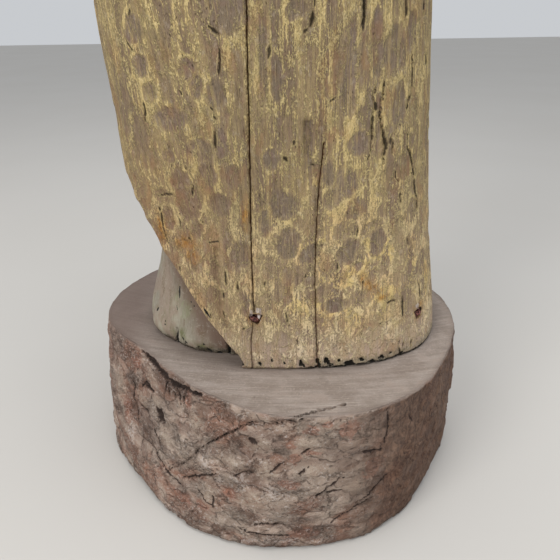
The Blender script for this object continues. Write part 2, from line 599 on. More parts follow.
def bores(name, rods, sides=24, ragged=0.0, seed=0):
    """One cutter of round rods, given as (start, end, radius); ragged shakes their sides."""
    rng = np.random.default_rng(seed)
    bm = bmesh.new()
    for start, end, radius in rods:
        start, end = Vector(start), Vector(end)
        axis = end - start
        made = bmesh.ops.create_cone(bm, cap_ends=True, segments=sides, radius1=radius, radius2=radius,
                                     depth=axis.length)["verts"]
        shake = {}
        for vert in made:
            key = round(math.atan2(vert.co.y, vert.co.x), 2)
            factor = shake.setdefault(key, 1 + ragged * rng.uniform(-1, 1))
            vert.co.x *= factor
            vert.co.y *= factor
        turn = axis.to_track_quat("Z", "Y").to_matrix().to_4x4()
        bmesh.ops.transform(bm, matrix=Matrix.Translation((start + end) / 2) @ turn, verts=made)
    return object_from(name, bm)


def cut_away(obj, cutter):
    """Takes the cutter's shape out of a closed mesh for good, and removes the cutter."""
    modifier = obj.modifiers.new("Cut", "BOOLEAN")
    modifier.operation = "DIFFERENCE"
    modifier.solver = "MANIFOLD"
    modifier.object = cutter
    apply_modifiers(obj)
    bpy.data.objects.remove(cutter)


def apply_modifiers(obj):
    bpy.context.view_layer.update()
    graph = bpy.context.evaluated_depsgraph_get()
    mesh = bpy.data.meshes.new_from_object(obj.evaluated_get(graph))
    obj.modifiers.clear()
    old, obj.data = obj.data, mesh
    bpy.data.meshes.remove(old)
    mesh.name = obj.name


def set_material(obj, material):
    obj.data.materials.clear()
    obj.data.materials.append(material)


def finish_piece(obj, material, slot, *nodes):
    """Material, smooth shading and the piece's place in the assembly."""
    set_material(obj, material)
    obj.data.shade_smooth()
    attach(obj, BODY)
    if nodes:
        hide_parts(*nodes)
    return obj


# ---------------------------------------------------------------- shader graphs


class Value:
    """One output inside a shader graph, with arithmetic on it."""

    def __init__(self, graph, socket):
        self.graph = graph
        self.socket = socket

    def __add__(self, other):
        return self.graph.maths("ADD", self, other)

    def __sub__(self, other):
        return self.graph.maths("SUBTRACT", self, other)

    def __rsub__(self, other):
        return self.graph.maths("SUBTRACT", other, self)

    def __mul__(self, other):
        return self.graph.maths("MULTIPLY", self, other)

    __radd__ = __add__
    __rmul__ = __mul__


class Graph:
    """A procedural material under construction. Sizes are in metres, in the object's own space."""

    def __init__(self, name):
        self.material = bpy.data.materials.new(name)
        self.material.use_nodes = True
        self.tree = self.material.node_tree
        self.shader = self.tree.nodes["Principled BSDF"]
        self.place = self.node("TexCoord", {}, "Object")

    def feed(self, sockets, values):
        for key, value in values.items():
            if isinstance(value, Value):
                self.tree.links.new(value.socket, sockets[key])
            else:
                sockets[key].default_value = value

    def node(self, kind, inputs, output=0, **settings):
        """A new node, fed by the names or numbers of its inputs; gives back one of its outputs."""
        made = self.tree.nodes.new("ShaderNode" + kind)
        for key, value in settings.items():
            setattr(made, key, value)
        self.feed(made.inputs, inputs)
        return Value(self, made.outputs[output])

    def maths(self, operation, first, second):
        return self.node("Math", {0: first, 1: second}, operation=operation)

    def band(self, value, low, high):
        """0 below low and 1 above high, smooth between; low may be the larger."""
        inputs = {0: value, 1: low, 2: high}
        return self.node("MapRange", inputs, interpolation_type="SMOOTHSTEP")

    def blend(self, share, first, second):
        return self.node("Mix", {0: share, 6: first, 7: second}, 2, data_type="RGBA")

    def over(self, base, share, *tone):
        """A base colour with a tone laid over it."""
        return self.blend(share, base, srgb(*tone))

    def layers(self, base, *layers):
        """A base colour with tones laid over it in turn, each as its share and its colour."""
        for share, *tone in layers:
            base = self.over(base, share, *tone)
        return base

    def mix_value(self, share, first, second):
        return self.node("Mix", {0: share, 2: first, 3: second}, data_type="FLOAT")

    def in_units(self, size, shift, place=None):
        """The place counted in a size, one number or three for stretched patterns, then shifted."""
        sizes = np.broadcast_to(size, 3)
        inputs = {0: place or self.place, "Scale": [1 / each for each in sizes], "Location": shift}
        return self.node("Mapping", inputs)

    def noise(self, size, detail=3.0, rough=0.55, twist=0.0, shift=0.0, place=None):
        """Noise whose features are about this size: one number, or three for stretched ones."""
        inputs = {
            "Vector": self.in_units(size, (shift, shift * 1.7, shift * 0.6), place),
            "Scale": 1.0,
            "Detail": detail,
            "Roughness": rough,
            "Distortion": twist,
        }
        return self.node("TexNoise", inputs)

    def cells(self, size, shift=0.0, feature="F1", place=None):
        inputs = {"Vector": self.in_units(size, [shift] * 3, place), "Scale": 1.0}
        return self.node("TexVoronoi", inputs, "Distance", feature=feature)

    def plates(self, size, shift, place):
        """Flat plates of about a size: a random tone for each, and the distance to its edge."""
        inputs = {"Vector": self.in_units(size, [shift] * 3, place), "Scale": 1.0}
        tones = self.node("TexVoronoi", inputs, "Color", feature="F1")
        edges = self.node("TexVoronoi", inputs, "Distance", feature="DISTANCE_TO_EDGE")
        return self.node("SeparateColor", {0: tones}), edges

    def field(self, name):
        return self.node("Attribute", {}, "Fac", attribute_name=name)

    def axis(self, letter):
        return self.node("SeparateXYZ", {0: self.place}, "XYZ".index(letter))

    def warped(self, reach, size):
        """The place, shifted by up to about a reach, with swirls of a size."""
        inputs = {"Vector": self.in_units(size, (0, 0, 0)), "Scale": 1.0}
        swirl = self.node("TexNoise", inputs, "Color")
        shifted = {0: swirl, 1: [reach * 4] * 3, 2: self.place}
        return self.node("VectorMath", shifted, operation="MULTIPLY_ADD")

    def rings(self, centre):
        """Distance from an upright line through a point, for arcs round it."""
        flat = self.node("VectorMath", {0: self.place, 1: (1, 1, 0)}, operation="MULTIPLY")
        return self.node("VectorMath", {0: flat, 1: (*centre, 0)}, "Value", operation="DISTANCE")

    def turned(self, turn, place):
        radians = [math.radians(angle) for angle in turn]
        return self.node("Mapping", {0: place, "Rotation": radians})

    def combine(self, x, y, z):
        return self.node("CombineXYZ", {0: x, 1: y, 2: z})

    def finish(self, colour, roughness, relief=None, depth=0.0005, metallic=0.0, specular=0.35):
        inputs = {
            "Base Color": colour,
            "Roughness": roughness,
            "Metallic": metallic,
            "Specular IOR Level": specular,
        }
        if relief is not None:
            bump = {"Strength": 1.0, "Distance": depth, "Height": relief}
            inputs["Normal"] = self.node("Bump", bump)
        self.feed(self.shader.inputs, inputs)
        return self.material


def worn_wrap_material():
    """Yellow wash worn down to brown wood: long streaks above, facets and pale patches below."""
    g = Graph("worn_yellow_wrap")
    height = g.axis("Z")
    side_place = g.axis("X")
    g.place = g.node("Attribute", {}, "Vector", attribute_name="flow")
    low = g.band(height, 0.42, 0.31)
    hem = g.band(height, 0.262, 0.205)
    bent = g.warped(0.0035, 0.016)
    hairs = g.noise((0.0011, 0.0011, 0.020), 3.0, 0.62, 0.15)
    streaks = g.noise((0.0034, 0.0034, 0.055), 4.0, 0.66, 0.3, 3.1)
    strokes = g.noise((0.0021, 0.0021, 0.028), 4.0, 0.62, 0.6, 6.4, g.warped(0.0025, 0.012))
    bands = g.noise((0.012, 0.012, 0.13), 2.0, 0.5, 0.3, 7.7)
    blots = g.noise((0.0042, 0.0042, 0.0130), 4.0, 0.66, 0.6, 5.3, bent)
    patches = g.noise((0.020, 0.020, 0.030), 3.0, 0.55, 0.4, 9.1)
    grit = g.noise((0.0012, 0.0012, 0.0021), 3.0, 0.7, 0.0, 2.2)
    bare = g.field("bare")

    # Thin ridges between tool marks keep the most paint
    long_net = g.band(g.cells((0.0095, 0.0095, 0.085), 1.7, "DISTANCE_TO_EDGE", bent), 0.11, 0.02)
    short_net = g.band(g.cells((0.0125, 0.0125, 0.019), 4.1, "DISTANCE_TO_EDGE", bent), 0.10, 0.02)
    net = g.mix_value(low, long_net, short_net)
    net = net * g.band(blots * 0.4 + grit * 0.6, 0.45, 0.57)
    upper_wash = hairs * 0.26 + strokes * 0.31 + streaks * 0.22 + bands * 0.13 + grit * 0.1
    lower_wash = hairs * 0.14 + strokes * 0.24 + blots * 0.26 + patches * 0.18 + grit * 0.2
    hem_bare = g.band(height + blots * 0.03, 0.234, 0.214)
    wash = g.mix_value(low, upper_wash, lower_wash)
    bare = bare * g.band(streaks * 0.5 + hairs * 0.5, 0.68, 0.5)
    right_side = g.band(side_place, -0.02, 0.05)
    shares = (
        (bare, -0.13), (hem_bare, -0.045), (g.field("ridge"), 0.035), (net, 0.1),
        (g.field("rims"), 0.06), (low, 0.014), (hem, 0.004), (right_side, 0.010),
    )
    for mask, share in shares:
        wash = wash + mask * share
    thick = g.band(wash, 0.543, 0.574)
    thin = g.band(wash * 0.5 + bands * 0.3 + streaks * 0.2, 0.445, 0.56)

    grain = g.noise((0.0008, 0.0008, 0.026), 3.0, 0.62, 0.1, 12.0)
    tone = g.noise((0.026, 0.026, 0.080), 3.0, 0.5, 0.4, 4.4)
    wood = g.over(srgb(146, 125, 97), g.band(tone, 0.4, 0.6), 132, 112, 91)
    wood = g.over(wood, low * 0.55, 150, 127, 108)
    taupe = g.over(srgb(127, 112, 95), g.band(patches, 0.42, 0.6), 134, 116, 103)
    lower_left = g.band(side_place, -0.01, -0.09) * g.band(height, 0.47, 0.38)
    taupe = g.over(taupe, lower_left * 0.6, 130, 104, 88)
    wood = g.blend(bare * 0.88, wood, taupe)
    mauve = g.band(g.noise((0.013, 0.013, 0.018), 3.0, 0.6, 0.4, 31.0), 0.55, 0.68) * 0.45
    dashes = g.noise((0.0010, 0.0010, 0.0085), 3.0, 0.6, 0.4, 52.0)
    wood = g.layers(
        wood,
        (g.band(grain, 0.47, 0.36) * 0.62, 92, 74, 50),
        (g.band(hairs, 0.54, 0.62) * 0.45, 168, 148, 114),
        (mauve, 140, 112, 98),
        (g.band(dashes, 0.4, 0.33) * 0.55, 84, 67, 46),
        (hem * 0.8, 200, 175, 154),
        (hem_bare * 0.6, 192, 167, 150),
    )

    stain = g.over(srgb(184, 160, 115), low, 198, 172, 130)
    stained = g.blend(thin * 0.62, wood, stain)
    paint = g.over(srgb(196, 170, 112), g.band(grit, 0.36, 0.62), 230, 206, 148)
    yellow = g.band(g.noise((0.022, 0.022, 0.026), 3.0, 0.55, 0.4, 77.0), 0.49, 0.60)
    yellow = yellow * (low * g.band(side_place, -0.03, 0.05))
    cream = low * g.band(g.noise((0.014, 0.014, 0.026), 3.0, 0.6, 0.3, 71.0), 0.5, 0.6)
    paint = g.layers(
        paint,
        (low * 0.66, 240, 215, 168),
        (yellow * 0.6, 236, 204, 122),
        (cream * 0.6, 236, 198, 146),
        (hem * 0.6, 246, 227, 200),
        (g.band(grain, 0.5, 0.38) * 0.18, 160, 136, 98),
    )
    colour = g.blend(thick * 0.95, stained, paint)
    outline = g.field("rims") * g.band(grit * 0.6 + blots * 0.4, 0.46, 0.56)
    chalk = g.band(g.noise((0.0052, 0.0052, 0.0070), 4.0, 0.68, 0.3, 41.0), 0.56, 0.66)
    chalk = chalk * (hem * 0.4 + 0.26)
    colour = g.layers(
        colour,
        (net * 0.55, 206, 186, 134),
        (outline * 0.44, 210, 188, 134),
        (chalk, 202, 186, 164),
    )

    rust = g.field("rust") * g.band(blots * 0.6 + grit * 0.4, 0.36, 0.56)
    rust_tone = g.over(srgb(146, 96, 46), g.band(hairs, 0.46, 0.54), 192, 138, 60)
    colour = g.blend(rust * 0.9, colour, rust_tone)
    smear = g.band(g.field("smear") + (grit - 0.5) * 1.8, 0.32, 0.52)
    smear_tone = g.over(srgb(196, 182, 176), g.band(blots, 0.42, 0.58), 226, 212, 190)
    colour = g.blend(smear * 0.85, colour, smear_tone)
    warm = g.band(g.noise((0.020, 0.020, 0.034), 3.0, 0.55, 0.0, 21.0), 0.52, 0.68)
    warm = warm * 0.28 + lower_left * 0.14
    cool = g.band(g.noise((0.018, 0.018, 0.040), 3.0, 0.55, 0.0, 27.0), 0.56, 0.72)
    pits = g.band(g.cells((0.0034, 0.0034, 0.0085), 3.0, "F1", bent), 0.17, 0.07)
    pits = pits * g.band(g.noise(0.017, 3.0, 0.6, 0.0, 33.0), 0.46, 0.58)
    speckle = g.noise((0.0010, 0.0010, 0.0015), 2.0, 0.6, 0.0, 61.0)
    speckled = 0.25 + low * 0.75
    dark_speck = g.band(speckle, 0.44, 0.3) * speckled
    pale_speck = g.band(speckle, 0.58, 0.72) * speckled
    lowest = height + (blots - 0.5) * 0.012
    soil = g.band(lowest, 0.204, 0.197) * g.band(side_place, 0.0, 0.09)
    at_slab = height + (blots - 0.5) * 0.008
    contact = g.band(at_slab, 0.1948, 0.193) * (0.45 + g.band(side_place, 0.0, 0.07))
    shaky = (grit * 0.5 + blots * 0.5 - 0.5) * 1.3
    near_mark = g.field("dark")
    lip = g.band(near_mark, 0.05, 0.16) * g.band(near_mark, 0.42, 0.3)
    lip = lip * g.band(blots, 0.44, 0.54)
    chip = g.field("chip") + shaky * 0.7
    marks = near_mark + shaky
    split = g.field("crack") + shaky * 0.35
    colour = g.layers(
        colour,
        (warm, 166, 118, 76),
        (cool * 0.18, 138, 130, 96),
        (pits * 0.75, 78, 62, 42),
        (dark_speck * 0.42, 88, 72, 52),
        (pale_speck * 0.34, 222, 206, 172),
        (soil * 0.55, 142, 134, 114),
        (contact, 44, 37, 31),
        (g.field("hollow") * 0.6, 84, 58, 44),
        (lip * 0.6, 208, 188, 136),
        (g.band(chip, 0.16, 0.34) * 0.4, 166, 156, 136),
        (g.band(chip, 0.4, 0.52), 42, 38, 32),
        (g.band(marks, 0.22, 0.52) * 0.55, 98, 82, 56),
        (g.band(marks, 0.52, 0.76) * 0.85, 52, 44, 34),
        (g.band(split, 0.2, 0.5) * 0.4, 110, 84, 56),
        (g.band(split, 0.5, 0.74), 78, 40, 20),
    )

    roughness = 0.88 - thick * 0.1
    relief = grain * 0.6 + hairs * 0.7 + thick * 0.4 + grit * 0.9 + pits * -0.8 + blots * 0.7 + net * 0.4
    return g.finish(colour, roughness, relief, 0.0018, specular=0.25)


def worn_skin_material(name, with_hair):
    """Grey-green body paint over brown wood, as on the foot and, without its chips, on the body."""
    g = Graph(name)
    height = g.axis("Z")
    tone = g.noise((0.030, 0.030, 0.045), 3.0, 0.5, 0.4)
    grain = g.noise((0.0015, 0.0015, 0.028), 3.0, 0.6, 0.1, 3.0)
    grit = g.noise(0.0018, 3.0, 0.7, 0.0, 8.0)
    wear = g.noise((0.010, 0.010, 0.024), 4.0, 0.65, 0.5, 5.0)
    streaks = g.noise((0.006, 0.006, 0.060), 3.0, 0.55, 0.2, 14.0)
    paint = g.over(srgb(143, 135, 120), g.band(tone, 0.38, 0.62), 161, 154, 136)
    pink = g.band(g.noise(0.03, 2.0, 0.5, 0.0, 11.0), 0.42, 0.58) * 0.75
    paint = g.over(paint, pink, 144, 125, 110)
    paint = g.over(paint, g.band(streaks, 0.52, 0.64) * 0.5, 126, 118, 92)
    green = g.field("green") * g.band(wear, 0.35, 0.6)
    mint = g.band(height, 0.257, 0.25) * g.band(height, 0.22, 0.23)
    green_tone = g.over(srgb(98, 103, 64), mint, 150, 158, 124)
    paint = g.blend(green * 0.85, paint, green_tone)
    paint = g.over(paint, g.band(grain, 0.46, 0.32) * 0.45, 112, 98, 80)
    bare = g.band(wear * 0.6 + grain * 0.25 + grit * 0.25, 0.6, 0.68)
    colour = g.over(paint, bare * 0.75, 118, 100, 80)
    rub = g.field("rub")
    colour = g.over(colour, rub * 0.88, 106, 84, 71)
    pale = g.band(g.noise(0.0048, 4.0, 0.7, 0.2, 19.0) * 0.7 + grit * 0.3, 0.54, 0.62)
    colour = g.over(colour, pale * 0.35, 170, 163, 148)
    if with_hair:
        hair = g.field("hair")
        lock = g.noise((0.0020, 0.0020, 0.022), 3.0, 0.6, 0.3, 17.0)
        dark_hair = g.over(srgb(62, 52, 42), g.band(lock, 0.4, 0.62), 104, 90, 72)
        colour = g.blend(hair * 0.88, colour, dark_hair)
    spatter = wear * 0.5 + grit * 0.5
    soil = g.band(height, 0.21, 0.1905) + (spatter - 0.5) * 3.0
    soil = g.band(soil, 0.55, 0.95) * g.band(height, 0.214, 0.2)
    dark = g.field("dark") + (grit - 0.5) * 0.45
    colour = g.layers(
        colour,
        (soil * 0.8, 58, 50, 42),
        (g.field("hollow") * 0.65, 84, 70, 54),
        (g.band(dark, 0.4, 0.6), 34, 32, 28),
    )
    relief = grain * 0.5 + grit * 0.35 + wear * 0.5 + bare * -0.3
    return g.finish(colour, 0.7 + bare * 0.15, relief, 0.0007)


def slab_material():
    """Brushed grey-taupe top, and sides of weathered bark plates with red-brown and pale scale."""
    g = Graph("weathered_log_slab")
    side = g.field("side")
    height = g.axis("Z")
    grit = g.noise(0.0022, 4.0, 0.7, 0.0, 2.0)
    bent = g.warped(0.006, 0.020)
    slanted = g.turned((0, BARK_SLANT, 0), bent)
    fibres = g.noise((0.018, 0.006, 0.0022), 4.0, 0.68, 0.5, 1.0, slanted)
    upright = g.noise((0.0032, 0.0032, 0.030), 4.0, 0.65, 0.3, 8.0, bent)
    lumps = g.noise((0.017, 0.017, 0.012), 5.0, 0.62, 0.4, 4.0)
    broad = g.noise((0.045, 0.045, 0.032), 3.0, 0.5, 0.5, 6.0)
    crust = g.noise((0.0042, 0.0042, 0.0032), 5.0, 0.75, 0.5, 9.0)
    drift = g.noise((0.060, 0.060, 0.045), 2.0, 0.5, 0.3, 36.0)
    big_tint, big_edge = g.plates((0.026, 0.026, 0.017), 2.0, bent)
    small_tint, small_edge = g.plates((0.0085, 0.0085, 0.0060), 6.0, bent)

    bark = g.over(srgb(127, 102, 87), g.band(lumps * 0.6 + big_tint * 0.25 + small_tint * 0.15, 0.36, 0.62),
                  173, 152, 137)
    bark = g.layers(
        bark,
        (g.band(broad, 0.46, 0.6) * 0.8, 144, 106, 87),
        (g.band(drift, 0.51, 0.62) * 0.72, 165, 148, 133),
        (g.band(drift, 0.46, 0.36) * 0.5, 112, 88, 76),
        (g.band(fibres, 0.54, 0.64) * 0.3, 190, 172, 158),
        (g.band(fibres, 0.44, 0.34) * 0.36, 92, 71, 60),
    )
    plate = g.field("plate") * g.band(crust, 0.36, 0.5)
    plate_tone = g.over(srgb(153, 134, 118), g.band(lumps, 0.4, 0.6), 176, 159, 142)
    bark = g.blend(plate * 0.85, bark, plate_tone)
    red_spots = g.field("red") * 0.55 + small_tint * 0.25 + crust * 0.45
    red = g.band(red_spots, 0.62, 0.78)
    seams = g.band(big_edge, 0.075, 0.01) * g.band(crust * 0.6 + lumps * 0.4, 0.52, 0.42)
    busy = g.band(g.noise((0.040, 0.040, 0.024), 3.0, 0.5, 0.4, 26.0), 0.46, 0.60)
    rough = 1.0 - g.field("plate") * 0.75
    rough = rough * (1.0 - g.field("shade") * 0.65)
    busy = busy * rough
    seams = seams * rough
    fine_seams = g.band(small_edge, 0.09, 0.02) * g.band(crust, 0.54, 0.46)
    fine_seams = fine_seams * busy
    flecks = crust * 0.55 + grit * 0.45
    flecks = flecks + g.field("white") * 0.07
    flecks = flecks - g.field("shade") * 0.04
    scale = g.band(flecks, 0.550, 0.590)
    specks = g.band(crust * 0.4 + grit * 0.6, 0.43, 0.395)
    flaking = g.noise((0.0080, 0.0030, 0.0012), 2.0, 0.6, 0.5, 44.0, slanted)
    often = 0.35 + busy * 0.65
    lifted = g.band(flaking, 0.6, 0.67) * often
    missing = g.band(flaking, 0.39, 0.32) * often
    bark = g.layers(
        bark,
        (red * 0.6, 152, 104, 84),
        (seams * 0.36, 86, 66, 56),
        (fine_seams * 0.3, 92, 74, 64),
        (scale * 0.5, 200, 190, 184),
        (specks * 0.6, 66, 48, 41),
        (lifted * 0.6, 210, 196, 186),
        (missing * 0.65, 62, 45, 38),
    )
    shade = g.field("shade")
    brown = g.over(srgb(68, 44, 32), g.band(upright, 0.4, 0.6), 114, 86, 68)
    bark = g.blend(shade * 0.88, bark, brown)

    arc = g.rings((0.03, 0.55))
    brushed_place = g.combine(arc, g.axis("X"), 0.0)
    brush = g.noise((0.0008, 0.050, 1.0), 4.0, 0.7, 0.2, 2.0, brushed_place)
    brush_wide = g.noise((0.0060, 0.080, 1.0), 3.0, 0.55, 0.4, 5.0, brushed_place)
    worn = g.noise((0.030, 0.024, 0.040), 4.0, 0.6, 0.5, 13.0)
    top = g.over(srgb(136, 123, 113), g.band(brush_wide * 0.4 + worn * 0.6, 0.38, 0.62), 157, 145, 136)
    far_left = g.band(g.axis("X"), -0.13, -0.20)
    rim = g.field("rim") * g.band(grit, 0.3, 0.6)
    dots = g.band(g.cells(0.016, 5.0), 0.07, 0.03)
    grime = g.field("grime")
    top = g.layers(
        top,
        (g.band(brush, 0.44, 0.34) * 0.4, 114, 100, 90),
        (g.band(brush, 0.56, 0.66) * 0.6, 194, 180, 168),
        (g.band(grit, 0.44, 0.34) * 0.3, 118, 104, 94),
        (g.band(worn, 0.54, 0.68) * 0.3, 150, 130, 116),
        (g.band(grit, 0.56, 0.65) * 0.45, 180, 168, 157),
        (far_left * 0.75, 120, 102, 93),
        (rim * 0.45, 104, 86, 76),
        (dots * 0.6, 84, 70, 60),
        (grime * 0.45, 110, 96, 86),
    )

    colour = g.blend(side, top, bark)
    dark = g.field("dark") + (grit - 0.5) * 0.9
    foot = side * g.band(height, 0.012, 0.001)
    colour = g.layers(
        colour,
        (g.field("hollow") * 0.4, 84, 64, 55),
        (g.band(dark, 0.2, 0.48) * 0.5, 92, 70, 60),
        (g.band(dark, 0.44, 0.62) * 0.9, 50, 36, 30),
        (foot * 0.5, 70, 58, 50),
    )
    rough_relief = crust * 1.5 + grit * 0.8 + small_tint * 0.5 + fibres * 0.6
    side_relief = (lumps + rough_relief * (busy + 0.14) * 0.9 + fibres * 0.5 + grit * 0.3 + big_tint * 0.6
                   + seams * -0.7 + fine_seams * -0.4)
    top_relief = brush * 0.3 + grit * 0.2
    relief = g.mix_value(side, top_relief, side_relief)
    roughness = 0.74 + side * 0.08
    return g.finish(colour, roughness, relief, 0.0022)


def simple_wood_material(name, light, dark_tone):
    """Turned peg wood, with grain along Z and fine pores."""
    g = Graph(name)
    grain = g.noise((0.0012, 0.0012, 0.02), 4.0, 0.6, 0.3)
    tone = g.noise(0.012, 3.0, 0.5, 0.2, 4.0)
    colour = g.blend(g.band(grain * 0.7 + tone * 0.3, 0.38, 0.62), srgb(*dark_tone), srgb(*light))
    return g.finish(colour, 0.6 + tone * 0.3, grain, 0.0003)


def steel_material(name, clean, rust_share):
    """Plated steel with as much rust as the share says."""
    g = Graph(name)
    bloom = g.noise(0.0030, 4.0, 0.7, 0.4)
    fine = g.noise(0.0006, 3.0, 0.6, 0.0, 6.0)
    rust = g.band(bloom * 0.7 + fine * 0.3, 0.66 - 0.4 * rust_share, 0.74 - 0.4 * rust_share)
    rust_tone = g.over(srgb(74, 34, 24), g.band(fine, 0.4, 0.6), 140, 76, 42)
    colour = g.blend(rust, srgb(*clean), rust_tone)
    roughness = rust * 0.4 + fine * 0.25 + 0.28
    return g.finish(colour, roughness, rust * 0.6 + fine * 0.4, 0.0003, 1.0 - rust)


def filler_material():
    """Crumbled filler: pale where it holds, red-brown and black where it has rotted with the rust."""
    g = Graph("crumbled_filler")
    lumps = g.noise(0.0018, 4.0, 0.7, 0.3)
    patches = g.noise(0.0040, 3.0, 0.6, 0.3, 7.0)
    rotten = g.over(srgb(46, 18, 17), g.band(lumps, 0.44, 0.58), 134, 86, 76)
    chalk = g.over(srgb(176, 154, 142), g.band(patches, 0.4, 0.6), 206, 194, 188)
    share = g.field("pale") + (lumps - 0.5) * 1.4
    colour = g.blend(g.band(share, 0.4, 0.62), rotten, chalk)
    return g.finish(colour, 0.8 + lumps * 0.1, lumps, 0.001)


# ---------------------------------------------------------------- the wrap


def random_scoops(seed):
    """Tool marks all over the wrap: distance round, height, half sizes, depth, bareness; millimetres."""
    rng = np.random.default_rng(seed)
    scoops = []
    half_round = math.pi * NOMINAL_RADIUS / MM

    def scatter(low, high, across, up, widths, heights, depths):
        for height in np.arange(low, high, up):
            for place in np.arange(-half_round, half_round, across):
                scoops.append((place + across * rng.uniform(-0.6, 0.6), height + up * rng.uniform(-0.6, 0.6),
                               rng.uniform(*widths), rng.uniform(*heights), rng.uniform(*depths),
                               rng.uniform(0.0, 1.0), rng.uniform(-12, 12)))

    scatter(200, 290, 34, 30, (9, 18), (9, 18), (0.2, 0.5))
    scatter(285, 470, 21, 22, (7, 13), (8, 15), (0.6, 1.3))
    scatter(455, 770, 17, 64, (5, 9), (26, 52), (0.35, 0.8))
    return scoops


def wrap_shape(points, scoops):
    """Relief and wear of the wrap at points of its surface."""
    off = (angles_of(points) - FRONT + 180) % 360 - 180
    across = np.radians(off) * NOMINAL_RADIUS / MM
    x, z = points[:, 0] / MM, points[:, 2] / MM
    front = points[:, 1] < 0.02
    warp = layered_noise(points, 0.012, 5, 3)
    ragged = layered_noise(points, 0.0035, 15, 2)

    scoop, bare, rims = (np.zeros(len(points)) for _ in range(3))

    def add_scoop(place, height, half_width, half_height, depth, bareness, lean, sideways):
        reach = np.hypot(half_width, half_height) * 1.3
        near = np.flatnonzero((np.abs(sideways - place) < reach) & (np.abs(z - height) < reach))
        if not len(near):
            return
        turn = math.radians(lean)
        run, climb = sideways[near] - place, z[near] - height
        right = run * math.cos(turn) + climb * math.sin(turn)
        upward = climb * math.cos(turn) - run * math.sin(turn)
        distance = np.hypot(right / half_width, upward / half_height)
        distance = distance + 0.36 * warp[near] + 0.16 * ragged[near]
        bowl = 0.35 * np.clip(1 - distance**2, 0, 1) + 0.65 * smooth_step(distance, 1.08, 0.68)
        scoop[near] = np.maximum(scoop[near], depth * MM * bowl)
        bare[near] = np.maximum(bare[near], bareness * smooth_step(distance, 1.10, 0.78))
        lip = np.clip(1 - np.abs(distance - 1.16) * (half_width / 1.9), 0, 1) * min(1.0, bareness)
        rims[near] = np.maximum(rims[near] * (distance > 1), lip)

    for place, height, half_width, half_height, depth, bareness, lean in scoops:
        add_scoop(place, height, half_width, half_height, depth, 0.42 * bareness**2, lean, across)
    far = np.where(front, x, AWAY)
    for place, height, half_width, half_height, lean in BARE_FACETS:
        add_scoop(place, height, half_width * 1.15, half_height * 1.15, 1.4, 0.95, lean, far)

    groove_x, groove_z, groove_half, groove_tall = TOOL_GROOVE
    along = np.clip(z, groove_z - groove_tall, groove_z + groove_tall)
    groove = np.hypot(far - groove_x, z - along) / groove_half
    groove_cut = np.clip(1 - groove**4, 0, 1) * smooth_step(z, groove_z - groove_tall, groove_z)
    bare = np.maximum(bare, 1.1 * groove_cut)

    wobble = layered_noise(points, 0.006, 25, 2)
    shaken = far + 1.1 * layered_noise(points, (0.004, 0.004, 0.006), 27, 3)
    crack_depth, crack_near = cut_marks(far + 0.25 * ragged, z, WRAP_CRACKS, 0.6 * wobble, taper=False)
    mark_depth, mark_near = cut_marks(shaken, z + 0.8 * ragged, WRAP_MARKS, wobble + 1.1 * ragged, scale=0.95)
    torn = 0.6 * wobble + 2.0 * ragged
    chip_depth, chip_near = cut_marks(shaken, z + 0.8 * ragged, HEM_CHIPS, torn, scale=1.1)
    back_depth, back_near = cut_marks(np.where(front, AWAY, x), z, WRAP_BACK_MARKS, wobble)
    fold_depth, fold_near = cut_marks(far, z, (HEM_FOLD,), 0 * wobble)

    ridges = layered_noise(points, (0.0034, 0.0034, 0.055), 35, 3)
    waves = layered_noise(points, (0.014, 0.014, 0.12), 45, 2)
    swell = layered_noise(points, 0.075, 55, 2)
    pitted = layered_noise(points, (0.004, 0.004, 0.008), 65, 2)
    low_zone = smooth_step(z, 330, 250)
    relief = (-scoop - 0.0034 * groove_cut - fold_depth
              + 0.00022 * ridges + 0.00045 * waves + 0.0009 * swell + 0.0002 * low_zone * pitted)
    cut = np.maximum.reduce([crack_depth, mark_depth, chip_depth, back_depth])
    near = np.maximum.reduce([crack_near, mark_near, chip_near, back_near])
    wear = {
        "bare": bare,
        "rims": rims,
        "ridge": 1 - np.clip(scoop / 0.0006, 0, 1),
        "rust": soft_patches(far, z, RUST_STAINS, wobble),
        "smear": soft_patches(far, z, FILLER_SMEARS, 1.6 * ragged),
        "dark": np.maximum(mark_near, back_near),
        "chip": chip_near,
        "crack": crack_near,
    }
    groove_top = smooth_step(z, 428, 452)
    shaded = np.maximum(groove_cut * (0.14 + 0.40 * groove_top), 0.5 * fold_near)
    return {"relief": relief, "cut": cut, "near": near, "shaded": shaded, "wear": wear}


